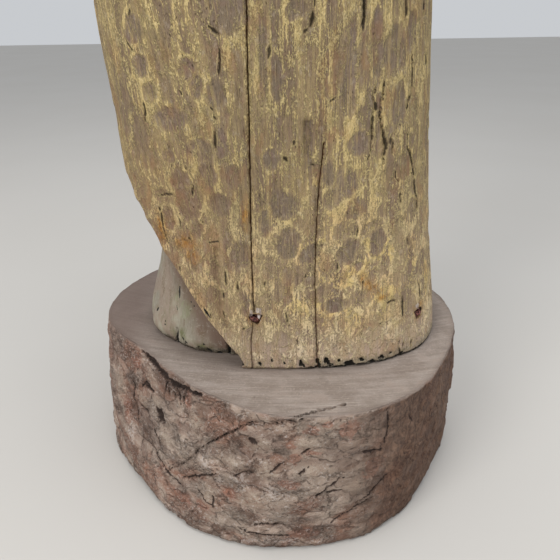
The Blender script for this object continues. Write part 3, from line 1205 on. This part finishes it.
def make_wrap(material):
    skin = Skin("figure_log", LOG_BASE + 0.002, WRAP_TOP + 0.001)
    angles = column_angles(skin, 0.40, (0, 62, 105, 180), (1.75 * MM, 1.75 * MM, 4.2 * MM, 4.6 * MM))
    heights = graded_steps(LOG_BASE, WRAP_TOP, (0.19, 0.20, 0.57, 0.60, 0.755, 0.77, 0.81),
                           (1.2 * MM, 2.4 * MM, 2.5 * MM, 5.0 * MM, 5.0 * MM, 2.6 * MM, 2.6 * MM))
    columns, rows = len(angles), len(heights)

    # Where the hem is lifted, a column starts on the sloping face that the frame holds
    point, normal = skin.undercut

    def slope_at(places):
        run = (places[:, 0] - point.x) * normal.x + (places[:, 1] - point.y) * normal.y
        return point.z - run / normal.z

    bottom = np.full(columns, LOG_BASE)
    for _ in range(6):
        slope = slope_at(skin.points(angles, bottom))
        lift = np.interp(slope - LOG_BASE, (0.0, 0.0112, 0.0224, 1.0), (0.0, 0.0, 0.0224, 1.0))
        bottom = LOG_BASE + lift
    lifted = bottom - LOG_BASE
    sag = np.interp(lifted, (0.0, 0.015, 0.035, 0.065, 0.085, 0.11, 0.16, 0.21),
                    (0.0, 0.0005, 0.006, 0.009, 0.008, 0.006, 0.005, 0.001))
    sag += 0.0008 * np.sin(np.radians(angles) * 23)
    rim = bottom - np.where(lifted > 0.004, sag, 0)
    stretch = (heights[:, None] - LOG_BASE) / (WRAP_TOP - LOG_BASE)
    z = rim[None, :] + stretch * (WRAP_TOP - rim[None, :])
    a = np.repeat(angles[None, :], rows, axis=0)

    # The columns nearest to a drying crack are drawn onto it and to its lips
    for half_width, _, path in WRAP_CRACKS:
        path = sorted(path, key=lambda pair: pair[1])
        xs, zs = zip(*path)
        for row in range(rows):
            height = z[row, columns // 2] / MM
            if not zs[0] - 2 <= height <= zs[-1] + 2:
                continue
            x_row = skin.points(a[row], z[row])[:, 0] / MM
            facing = np.abs(a[row] - FRONT) < 60
            target = np.interp(height, zs, xs)
            middle = int(np.argmin(np.where(facing, np.abs(x_row - target), np.inf)))
            span = slice(middle - 6, middle + 7)
            for step in (-1, 0, 1):
                a[row, middle + step] = np.interp(target + step * half_width * 1.1, x_row[span], angles[span])

    base = skin.points(a, z)
    # The lower edge is rounded, and under it the face rises to the plane of the frame
    inward = np.array([0.0016, 0.0007, 0.0002])
    for row, pull in enumerate(inward):
        base[row] = drawn_in(base[row], pull)
    under = drawn_in(base[0], 0.012)
    rise = np.maximum(LOG_BASE, slope_at(under) + 0.0004)
    under[:, 2] = np.where(lifted > 0.001, rise, LOG_BASE)
    points = np.concatenate([under[None], base]).reshape(-1, 3)
    faces = grid_faces(rows + 1, columns).tolist()
    faces += lid_faces(list(range(columns)), facing_up=False)
    faces += lid_faces([rows * columns + index for index in range(columns)], facing_up=True)
    obj = new_object("carved_wrap", points, faces)

    scoops = random_scoops(3)
    shape = wrap_shape(places_of(obj), scoops)
    refine(obj, shape["near"] > 0.02)
    points = places_of(obj)
    shape = wrap_shape(points, scoops)
    on_skin = smooth_step(skin.depth(points), 0.004, 0.0022)
    quiet = smooth_step(points[:, 2], WRAP_TOP, WRAP_TOP - 0.02)
    moved = (shape["relief"] * quiet - shape["cut"]) * on_skin
    set_places(obj, points + level(normals_of(obj)) * moved[:, None])

    rods = []
    for node in ("lag_bolt_front", "lag_bolt_back_left", "lag_bolt_back_right", "centre_dowel",
                 "foot_dowel_front", "foot_dowel_back"):
        start, end, radius = axis_of(node)
        reach = (end - start) * 0.02
        rods.append((start - reach, end + reach, radius + 0.0005))
    cut_away(obj, bores("rod_bores", rods))
    pockets = []
    for node in sorted(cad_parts):
        if node.startswith(("hem_filler_", "hem_plug_")):
            start, end, radius = axis_of(node)
            way = (end - start) / np.linalg.norm(end - start)
            pockets.append((start - way * 0.0003, end + way * 0.014, radius * FILLER_SHARE + 0.0003))
    cut_away(obj, bores("screw_bores", screw_rods(0.01)))
    cut_away(obj, bores("screw_pockets", pockets, 28, 0.025, 4))

    points = places_of(obj)
    shape = wrap_shape(points, scoops)
    inside = smooth_step(skin.depth(points), 0.0025, 0.007)
    hollow = np.clip(np.maximum(inside, shape["shaded"]), 0, 1)
    set_fields(obj, hollow=hollow, **shape["wear"])
    set_flow(obj, NOMINAL_RADIUS)
    return finish_piece(obj, material, "painted_wrap", "figure_log")


# ---------------------------------------------------------------- the body above the wrap


def remeshed(name, node, above, voxel, smoothing):
    """A CAD node, or what lies above a height of it, as an even mesh."""
    bm = bmesh.new()
    bm.from_mesh(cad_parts[node].data)
    bmesh.ops.remove_doubles(bm, verts=bm.verts, dist=0.000005)
    if above is not None:
        geometry = bm.verts[:] + bm.edges[:] + bm.faces[:]
        bmesh.ops.bisect_plane(bm, geom=geometry, plane_co=(0, 0, above), plane_no=(0, 0, -1),
                               clear_outer=True)
        bmesh.ops.holes_fill(bm, edges=[edge for edge in bm.edges if edge.is_boundary])
    obj = object_from(name, bm)
    remesh = obj.modifiers.new("Remesh", "REMESH")
    remesh.mode = "VOXEL"
    remesh.voxel_size = voxel
    smooth = obj.modifiers.new("Smooth", "SMOOTH")
    smooth.factor = 0.5
    smooth.iterations = smoothing
    apply_modifiers(obj)
    return obj


def face_marks(middle):
    """Carved lines of the closed eyes, the lids and the mouth, in millimetres."""
    mouth = [(middle + x, 1182.6 + 1.6 * (x / 24) ** 2) for x in range(-24, 25, 6)]
    marks = [(0.9, 2.2, tuple(mouth))]
    for side in (-1, 1):
        lash = [(middle + side * x, 1270.5 + 0.012 * (x - 42) ** 2) for x in range(24, 63, 6)]
        lid = [(middle + side * x, 1287.5 - 0.014 * (x - 42) ** 2) for x in range(24, 63, 6)]
        marks += [(0.9, 1.8, tuple(lash)), (0.8, 1.1, tuple(lid))]
    return marks


def make_body(material):
    obj = remeshed("carved_body", "figure_log", BODY_FROM, 0.0034, 3)
    points = places_of(obj)
    face = (points[:, 2] > 1.135) & (points[:, 2] < 1.335) & (points[:, 1] < -0.055)
    refine(obj, face)
    points = places_of(obj)
    x, z = points[:, 0] / MM, points[:, 2] / MM
    front = np.where(points[:, 1] < -0.06, x, AWAY)
    on_head = z > HEAD_FROM
    cut, near = cut_marks(np.where(on_head, front, AWAY), z, face_marks(HEAD_MIDDLE), 0 * x)
    chest = np.where((points[:, 1] < 0) & (z < 1090), x, AWAY)
    spine = np.where(points[:, 1] > 0.01, x, AWAY)
    shake = layered_noise(points, 0.006, 91, 2)
    crack, crack_near = cut_marks(chest, z, BODY_CRACKS, shake, taper=False)
    shake = layered_noise(points, 0.006, 95, 2)
    back, back_near = cut_marks(spine, z, BODY_BACK_CRACKS, shake, taper=False)
    hairline = (points[:, 1:] - HAIR_START) @ HAIR_RISE
    hair = smooth_step(hairline + 0.0015 * layered_noise(points, 0.008, 77, 2), 0.000, 0.004)
    hair = hair * smooth_step(z, 1165, 1185) * on_head
    locks = layered_noise(points, (0.0042, 0.0042, 0.030), 71, 3)
    facets = layered_noise(points, (0.020, 0.020, 0.028), 73, 2)
    grain = layered_noise(points, (0.004, 0.004, 0.05), 75, 3)
    calm = np.where(face_zone(points), 0.35, 1.0)
    relief = (0.0006 * facets + 0.00022 * grain) * calm + 0.0011 * locks * hair
    out = normals_of(obj)
    set_places(obj, points + out * (relief - cut - np.maximum(crack, back))[:, None])
    set_fields(
        obj,
        dark=np.maximum(np.maximum(crack_near, back_near), 0.45 * near),
        hollow=np.clip(cut / 0.002, 0, 1) * 0.8,
        hair=hair,
        green=np.zeros(len(points)),
        rub=smooth_step(layered_noise(points, 0.05, 79, 2), 0.15, 0.55),
    )
    return finish_piece(obj, material, "grey_green_wood", "figure_log")


def face_zone(points):
    return (points[:, 2] > 1.13) & (points[:, 1] < -0.05)


# ---------------------------------------------------------------- the foot


def make_foot(material):
    obj = remeshed("carved_foot", "foot_block", None, 0.0021, 3)
    points = places_of(obj)
    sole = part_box("foot_block")[0].z
    x, y, z = points[:, 0] / MM, points[:, 1] / MM, points[:, 2] / MM
    front = np.where(points[:, 1] < 0, x, AWAY)
    out = normals_of(obj)
    swell = np.zeros(len(points))
    for toe_x, toe_y, toe_z, half_x, half_y, half_z, grow in TOES:
        reach = ((x - toe_x) / half_x) ** 2 + ((y - toe_y) / half_y) ** 2 + ((z - toe_z) / half_z) ** 2
        swell += grow * MM * np.clip(1 - reach, 0, 1)
    wobble = layered_noise(points, 0.005, 121, 2)
    cut, near = cut_marks(front, z, FOOT_MARKS, wobble)
    gap, gap_near = cut_marks(front, z, (TOE_GAP, FOOT_GAP), 0.4 * wobble, taper=False)
    side = np.abs(out[:, 2]) < 0.75
    tuck = 0.0035 * smooth_step(z, sole / MM + 5.5, sole / MM) * side
    lumps = 0.0007 * layered_noise(points, 0.026, 123, 2)
    lumps += 0.00018 * layered_noise(points, (0.005, 0.005, 0.02), 125, 2)
    flat = out * np.array([1.0, 1.0, 0.0])
    left = smooth_step(x, -100, -135)
    heights, swells = (190, 205, 215, 235, 260, 300, 330), (0, 1.2, 0.6, -2.2, -3.2, -3.0, -1.0)
    swell += left * np.interp(z, heights, swells) * MM
    moved = points + out * (lumps * side)[:, None]
    moved += flat * (swell - tuck - np.maximum(cut, gap))[:, None]
    moved[:, 2] = np.maximum(moved[:, 2], sole)
    set_places(obj, moved)
    beyond = smooth_step(front, -53, -50) * (points[:, 1] < 0) * smooth_step(z, 235, 205)
    tucked = smooth_step(z, sole / MM + 3.5, sole / MM + 0.5)
    hem = (x - HEM_TIP[0]) * HEM_RISE + (z - HEM_TIP[1])  # rises towards the sloping face above
    set_fields(
        obj,
        dark=np.maximum(near, gap_near * smooth_step(z, 224, 198)),
        hollow=np.clip(np.maximum(0.85 * beyond, 0.8 * tucked), 0, 1),
        rub=smooth_step(hem, -92, -30) * smooth_step(z, 188, 203),
        green=soft_patches(front, z, FOOT_GREENS, wobble),
    )
    return finish_piece(obj, material, "grey_green_wood", "foot_block")


# ---------------------------------------------------------------- the slab


def slab_shape(points, side):
    """Relief and wear of the slab at points of its surface."""
    x, y, up = points.T / MM
    wobble = layered_noise(points, 0.007, 201, 2)
    per_degree = math.radians(SLAB_RADIUS)
    round_slab = angles_of(points) * per_degree
    flat_marks = [(w, d, tuple((degrees * per_degree, height) for degrees, height in path))
                  for w, d, path in SLAB_MARKS]
    across = np.where(side > 0.5, round_slab, AWAY)
    drift = [2.2 * layered_noise(points, 0.009, seed, 3) for seed in (203, 207)]
    torn = 1.2 * wobble + 0.8 * layered_noise(points, 0.0035, 205, 2)
    depth, near = cut_marks(across + drift[0], up + drift[1], flat_marks, torn, scale=0.88)
    top_depth, top_near = cut_marks(np.where(side < 0.5, x, AWAY), y, (SLAB_TOP_CHECK,), 0.5 * wobble)

    def patches(table):
        spots = tuple((degrees * per_degree, height, w, h) for degrees, height, w, h in table)
        return soft_patches(across, up, spots, wobble)

    plate = patches(SLAB_PLATES)
    turn = math.radians(BARK_SLANT)
    run = round_slab * MM
    slanted = np.stack([run * math.cos(turn) + points[:, 2] * math.sin(turn), 0 * run,
                        points[:, 2] * math.cos(turn) - run * math.sin(turn)], axis=1)
    fibres = layered_noise(slanted, (0.040, 1.0, 0.0050), 211, 3)
    bulges = layered_noise(points, (0.060, 0.060, 0.045), 221, 2)
    lumps = layered_noise(points, (0.018, 0.018, 0.013), 231, 3)
    crust = layered_noise(points, 0.0055, 241, 2)
    steps = layered_noise(points, (0.030, 0.030, 0.022), 251, 2)
    shelf = smooth_step(steps, -0.06, 0.02) - 0.5
    rough = 1 - 0.6 * np.clip(plate, 0, 1)
    swirls = [layered_noise(points, 0.016, 271 + k, 2) for k in range(3)]
    shifted = points + 0.004 * np.stack(swirls, axis=1)
    big_height, big_gap = cell_noise(shifted, (0.024, 0.024, 0.016), 281)
    small_height, small_gap = cell_noise(shifted, (0.0095, 0.0095, 0.0070), 291)
    busy = rough * smooth_step(layered_noise(points, (0.035, 0.035, 0.022), 301, 2), -0.10, 0.30)
    flakes = (0.0012 * big_height * smooth_step(big_gap, 0.0, 0.12)
              - 0.0008 * smooth_step(big_gap, 0.14, 0.0)
              + (0.0007 * small_height - 0.0005 * smooth_step(small_gap, 0.2, 0.0)) * busy)
    relief = (0.0026 * bulges + 0.0010 * lumps * rough + 0.0007 * fibres * busy + 0.0004 * crust * busy
              + 0.0013 * shelf + 0.0012 * np.clip(plate, 0, 1) + flakes)
    near = np.maximum(near, top_near)
    wear = {
        "dark": near,
        "plate": plate,
        "red": patches(SLAB_REDS),
        "white": patches(SLAB_WHITES),
        "hollow": np.clip(np.clip(-1.6 * lumps - 0.8 * shelf, 0, 1) * rough * side, 0, 1),
    }
    return {"relief": relief, "cut": np.maximum(depth, top_depth), "near": near, "wear": wear}


def make_slab(material):
    skin = Skin("base_slab", 0.003, SLAB_TOP - 0.003)
    angles = column_angles(skin, 0.1, (0, 75, 110, 180), (2.1 * MM, 2.1 * MM, 4.6 * MM, 5.0 * MM))
    heights = graded_steps(0.004, SLAB_TOP - 0.0035, (0.0, 0.02, 0.17, 0.19),
                           (2.2 * MM, 2.4 * MM, 2.4 * MM, 1.9 * MM))
    columns = len(angles)
    a = np.repeat(angles[None, :], len(heights), axis=0)
    body = skin.points(a, np.repeat(heights[:, None], columns, axis=1))

    def ring(row, pull, height):
        made = drawn_in(body[row], pull)
        made[:, 2] = height
        return made

    below = [ring(0, 0.060, 0.0), ring(0, 0.030, 0.0), ring(0, 0.0085, 0.0), ring(0, 0.0045, 0.0008),
             ring(0, 0.0018, 0.0022)]
    insets = graded_steps(0.0012, 0.075, (0.0, 0.006, 0.05, 0.075),
                          (1.2 * MM, 2.6 * MM, 2.8 * MM, 5.0 * MM))
    above = [ring(-1, 0.0003, SLAB_TOP - 0.0012)] + [ring(-1, pull, SLAB_TOP) for pull in insets]
    rows = below + list(body) + above
    points = np.concatenate(rows)
    faces = grid_faces(len(rows), columns).tolist()
    faces += lid_faces(list(range(columns)), facing_up=False)
    last = (len(rows) - 1) * columns
    faces += lid_faces([last + index for index in range(columns)], facing_up=True)
    obj = new_object("log_slab", points, faces)

    def side_of(places):
        return smooth_step(places[:, 2], SLAB_TOP - 0.0004, SLAB_TOP - 0.0020)

    points = places_of(obj)
    refine(obj, slab_shape(points, side_of(points))["near"] > 0.02)
    points = places_of(obj)
    side, edge = side_of(points), skin.depth(points)
    shape = slab_shape(points, side)
    at_rim = smooth_step(edge, 0.030, 0.0) * (points[:, 2] > SLAB_TOP - 0.002)
    down = smooth_step(edge, 0.035, 0.0) * (points[:, 2] < 0.003)
    held = np.maximum(side * (points[:, 2] > 0.003), np.maximum(at_rim, down))
    upper = smooth_step(points[:, 2], SLAB_TOP - 0.03, SLAB_TOP)
    relief = shape["relief"] * held * (1 - 0.45 * upper) - shape["cut"] * side * (points[:, 2] > 0.002)
    places = points + level(points) * relief[:, None]
    dip = 0.0006 * layered_noise(points, 0.05, 261, 2)
    dip += 0.00015 * layered_noise(points, (0.02, 0.0025, 1.0), 265, 2)
    top_zone = points[:, 2] > SLAB_TOP - 0.0002
    clear = smooth_step(np.hypot(points[:, 0] / 0.20, points[:, 1] / 0.165), 0.95, 1.1)
    lowered = np.where(top_zone, np.abs(dip) * clear + shape["cut"] * (side < 0.5), 0)
    places[:, 2] -= lowered
    set_places(obj, places)

    holes, rods = [], []
    for label in ("front", "back_left", "back_right"):
        low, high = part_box("lag_washer_" + label)
        centre = (low + high) / 2
        holes.append(((centre.x, centre.y, -0.01), (centre.x, centre.y, high.z + 0.0003), 0.017))
        rods.append(((centre.x, centre.y, high.z - 0.001), (centre.x, centre.y, SLAB_TOP + 0.01), 0.0065))
    start, end, radius = axis_of("centre_dowel")
    rods.append((start - (0, 0, 0.0005), end, radius + 0.0006))
    rods += screw_rods(0.005)
    cut_away(obj, bores("counterbores", holes, 40))
    cut_away(obj, bores("slab_bores", rods))

    points = places_of(obj)
    side, edge = side_of(points), skin.depth(points)
    hug = np.hypot((points[:, 0] - 0.018) / 0.182, points[:, 1] / 0.146)
    right = smooth_step(points[:, 0], 0.04, 0.14) * smooth_step(points[:, 1], 0.03, -0.05)
    set_fields(
        obj,
        side=side,
        rim=smooth_step(edge, 0.007, 0.001) * (1 - side),
        grime=smooth_step(hug, 1.10, 0.98) * (1 - side),
        shade=right * side,
        **slab_shape(points, side)["wear"],
    )
    return finish_piece(obj, material, "weathered_slab", "base_slab")


# ---------------------------------------------------------------- fasteners, floor, light, camera


def make_fillers(material):
    """The broken rings of filler round the two front screws."""
    for seed, label in enumerate(("front_left", "front_right")):
        node = "hem_filler_" + label
        obj = remeshed("crumbled_filler_" + label, node, None, 0.00045, 2)
        start, end, _ = axis_of(node)
        way = (end - start) / np.linalg.norm(end - start)
        way = way if way[1] < 0 else -way
        points = places_of(obj)
        offset = points - (start + end) / 2
        along = (offset @ way)[:, None] * way
        from_axis = np.linalg.norm(offset - along, axis=1)
        depth = offset @ way
        closed = smooth_step(depth, -0.003, 0.0005) * smooth_step(from_axis, 0.0056, 0.0037)
        shrink = FILLER_SHARE * (1 - 0.94 * closed)
        points = (start + end) / 2 + along + (offset - along) * shrink[:, None]
        points -= way * (0.0009 * closed)[:, None]
        right, rise = offset[:, 0] / MM, offset[:, 2] / MM
        spots = layered_noise(points, 0.0034, 401 + seed, 3)
        aside = right if label == "front_left" else -0.8 * right
        upper = smooth_step(rise - 0.5 * aside, 3.4, 5.2)
        pale = np.maximum(upper, 0.8 * smooth_step(aside + 0.4 * rise, 4.2, 5.4))
        pale = np.clip(pale + 0.6 * spots - 0.10, 0, 1)
        out = normals_of(obj)
        outer = smooth_step(depth, -0.002, 0.001)
        crumble = (0.0008 * (1 - pale) * np.clip(0.6 + spots, 0, 1.4)) * outer
        lumps = 0.0013 * layered_noise(points, 0.0021, 411 + seed, 2)
        set_places(obj, points + out * lumps[:, None] - way * crumble[:, None])
        set_fields(obj, pale=pale)
        finish_piece(obj, material, "white_filler", node)


def dress_fasteners():
    finishes = (
        ("foot_dowel_", simple_wood_material("peg_wood", (188, 150, 108), (140, 100, 64))),
        ("centre_dowel", simple_wood_material("dowel_wood", (182, 144, 102), (132, 94, 60))),
        ("hem_screw_", steel_material("rusted_steel", (110, 104, 98), 0.95)),
        ("hem_plug_", simple_wood_material("plug_wood", (150, 118, 84), (100, 72, 48))),
        ("lag_bolt_", steel_material("dull_zinc", (168, 168, 162), 0.15)),
        ("lag_washer_", steel_material("zinc_washer", (178, 178, 172), 0.10)),
    )
    for name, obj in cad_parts.items():
        for start, material in finishes:
            if name.startswith(start):
                set_material(obj, material)


def make_floor():
    bm = bmesh.new()
    bmesh.ops.create_grid(bm, x_segments=1, y_segments=1, size=12.0)
    floor = object_from("floor", bm)
    floor.location.z = -0.0002
    g = Graph("pale_floor")
    tone = g.noise(0.6, 2.0)
    g.finish(g.over(srgb(196, 192, 186), tone, 202, 199, 194), 0.75, None)
    floor.data.materials.append(g.material)


def add_area_light(name, place, target, size, power, colour):
    light = bpy.data.lights.new(name, "AREA")
    light.shape = "DISK"
    light.size = size
    light.energy = power
    light.color = colour
    obj = placed(name, light)
    obj.location = place
    obj.rotation_euler = (Vector(target) - Vector(place)).to_track_quat("-Z", "Y").to_euler()


def make_light():
    world = bpy.data.worlds.new("studio")
    bpy.context.scene.world = world
    world.use_nodes = True
    background = world.node_tree.nodes["Background"]
    background.inputs["Color"].default_value = (0.93, 0.96, 1.0, 1.0)
    background.inputs["Strength"].default_value = 0.62
    add_area_light("key", (-1.7, -2.1, 2.3), (0, 0, 0.35), 1.6, 53, (1.0, 0.985, 0.96))
    add_area_light("above", (0.2, -0.5, 3.0), (0, 0, 0.3), 1.8, 34, (1.0, 1.0, 1.0))
    add_area_light("fill", (2.2, -1.5, 1.2), (0, 0, 0.4), 1.6, 11, (0.94, 0.97, 1.0))


def make_camera():
    camera = bpy.data.cameras.new("camera")
    camera.sensor_width = 36.0
    camera.lens = 36.0
    obj = placed("camera", camera)
    tilt = Matrix.Rotation(math.radians(90 - CAMERA_PITCH), 4, "X")
    roll = Matrix.Rotation(math.radians(-CAMERA_ROLL), 4, "Z")
    obj.matrix_world = Matrix.Translation(CAMERA_PLACE) @ tilt @ roll
    bpy.context.scene.camera = obj
    bpy.context.scene.view_settings.view_transform = "Standard"


make_camera()
make_light()
make_floor()
make_wrap(worn_wrap_material())
make_body(worn_skin_material("worn_body_paint", True))
make_foot(worn_skin_material("worn_foot_paint", False))
make_slab(slab_material())
dress_fasteners()
make_fillers(filler_material())
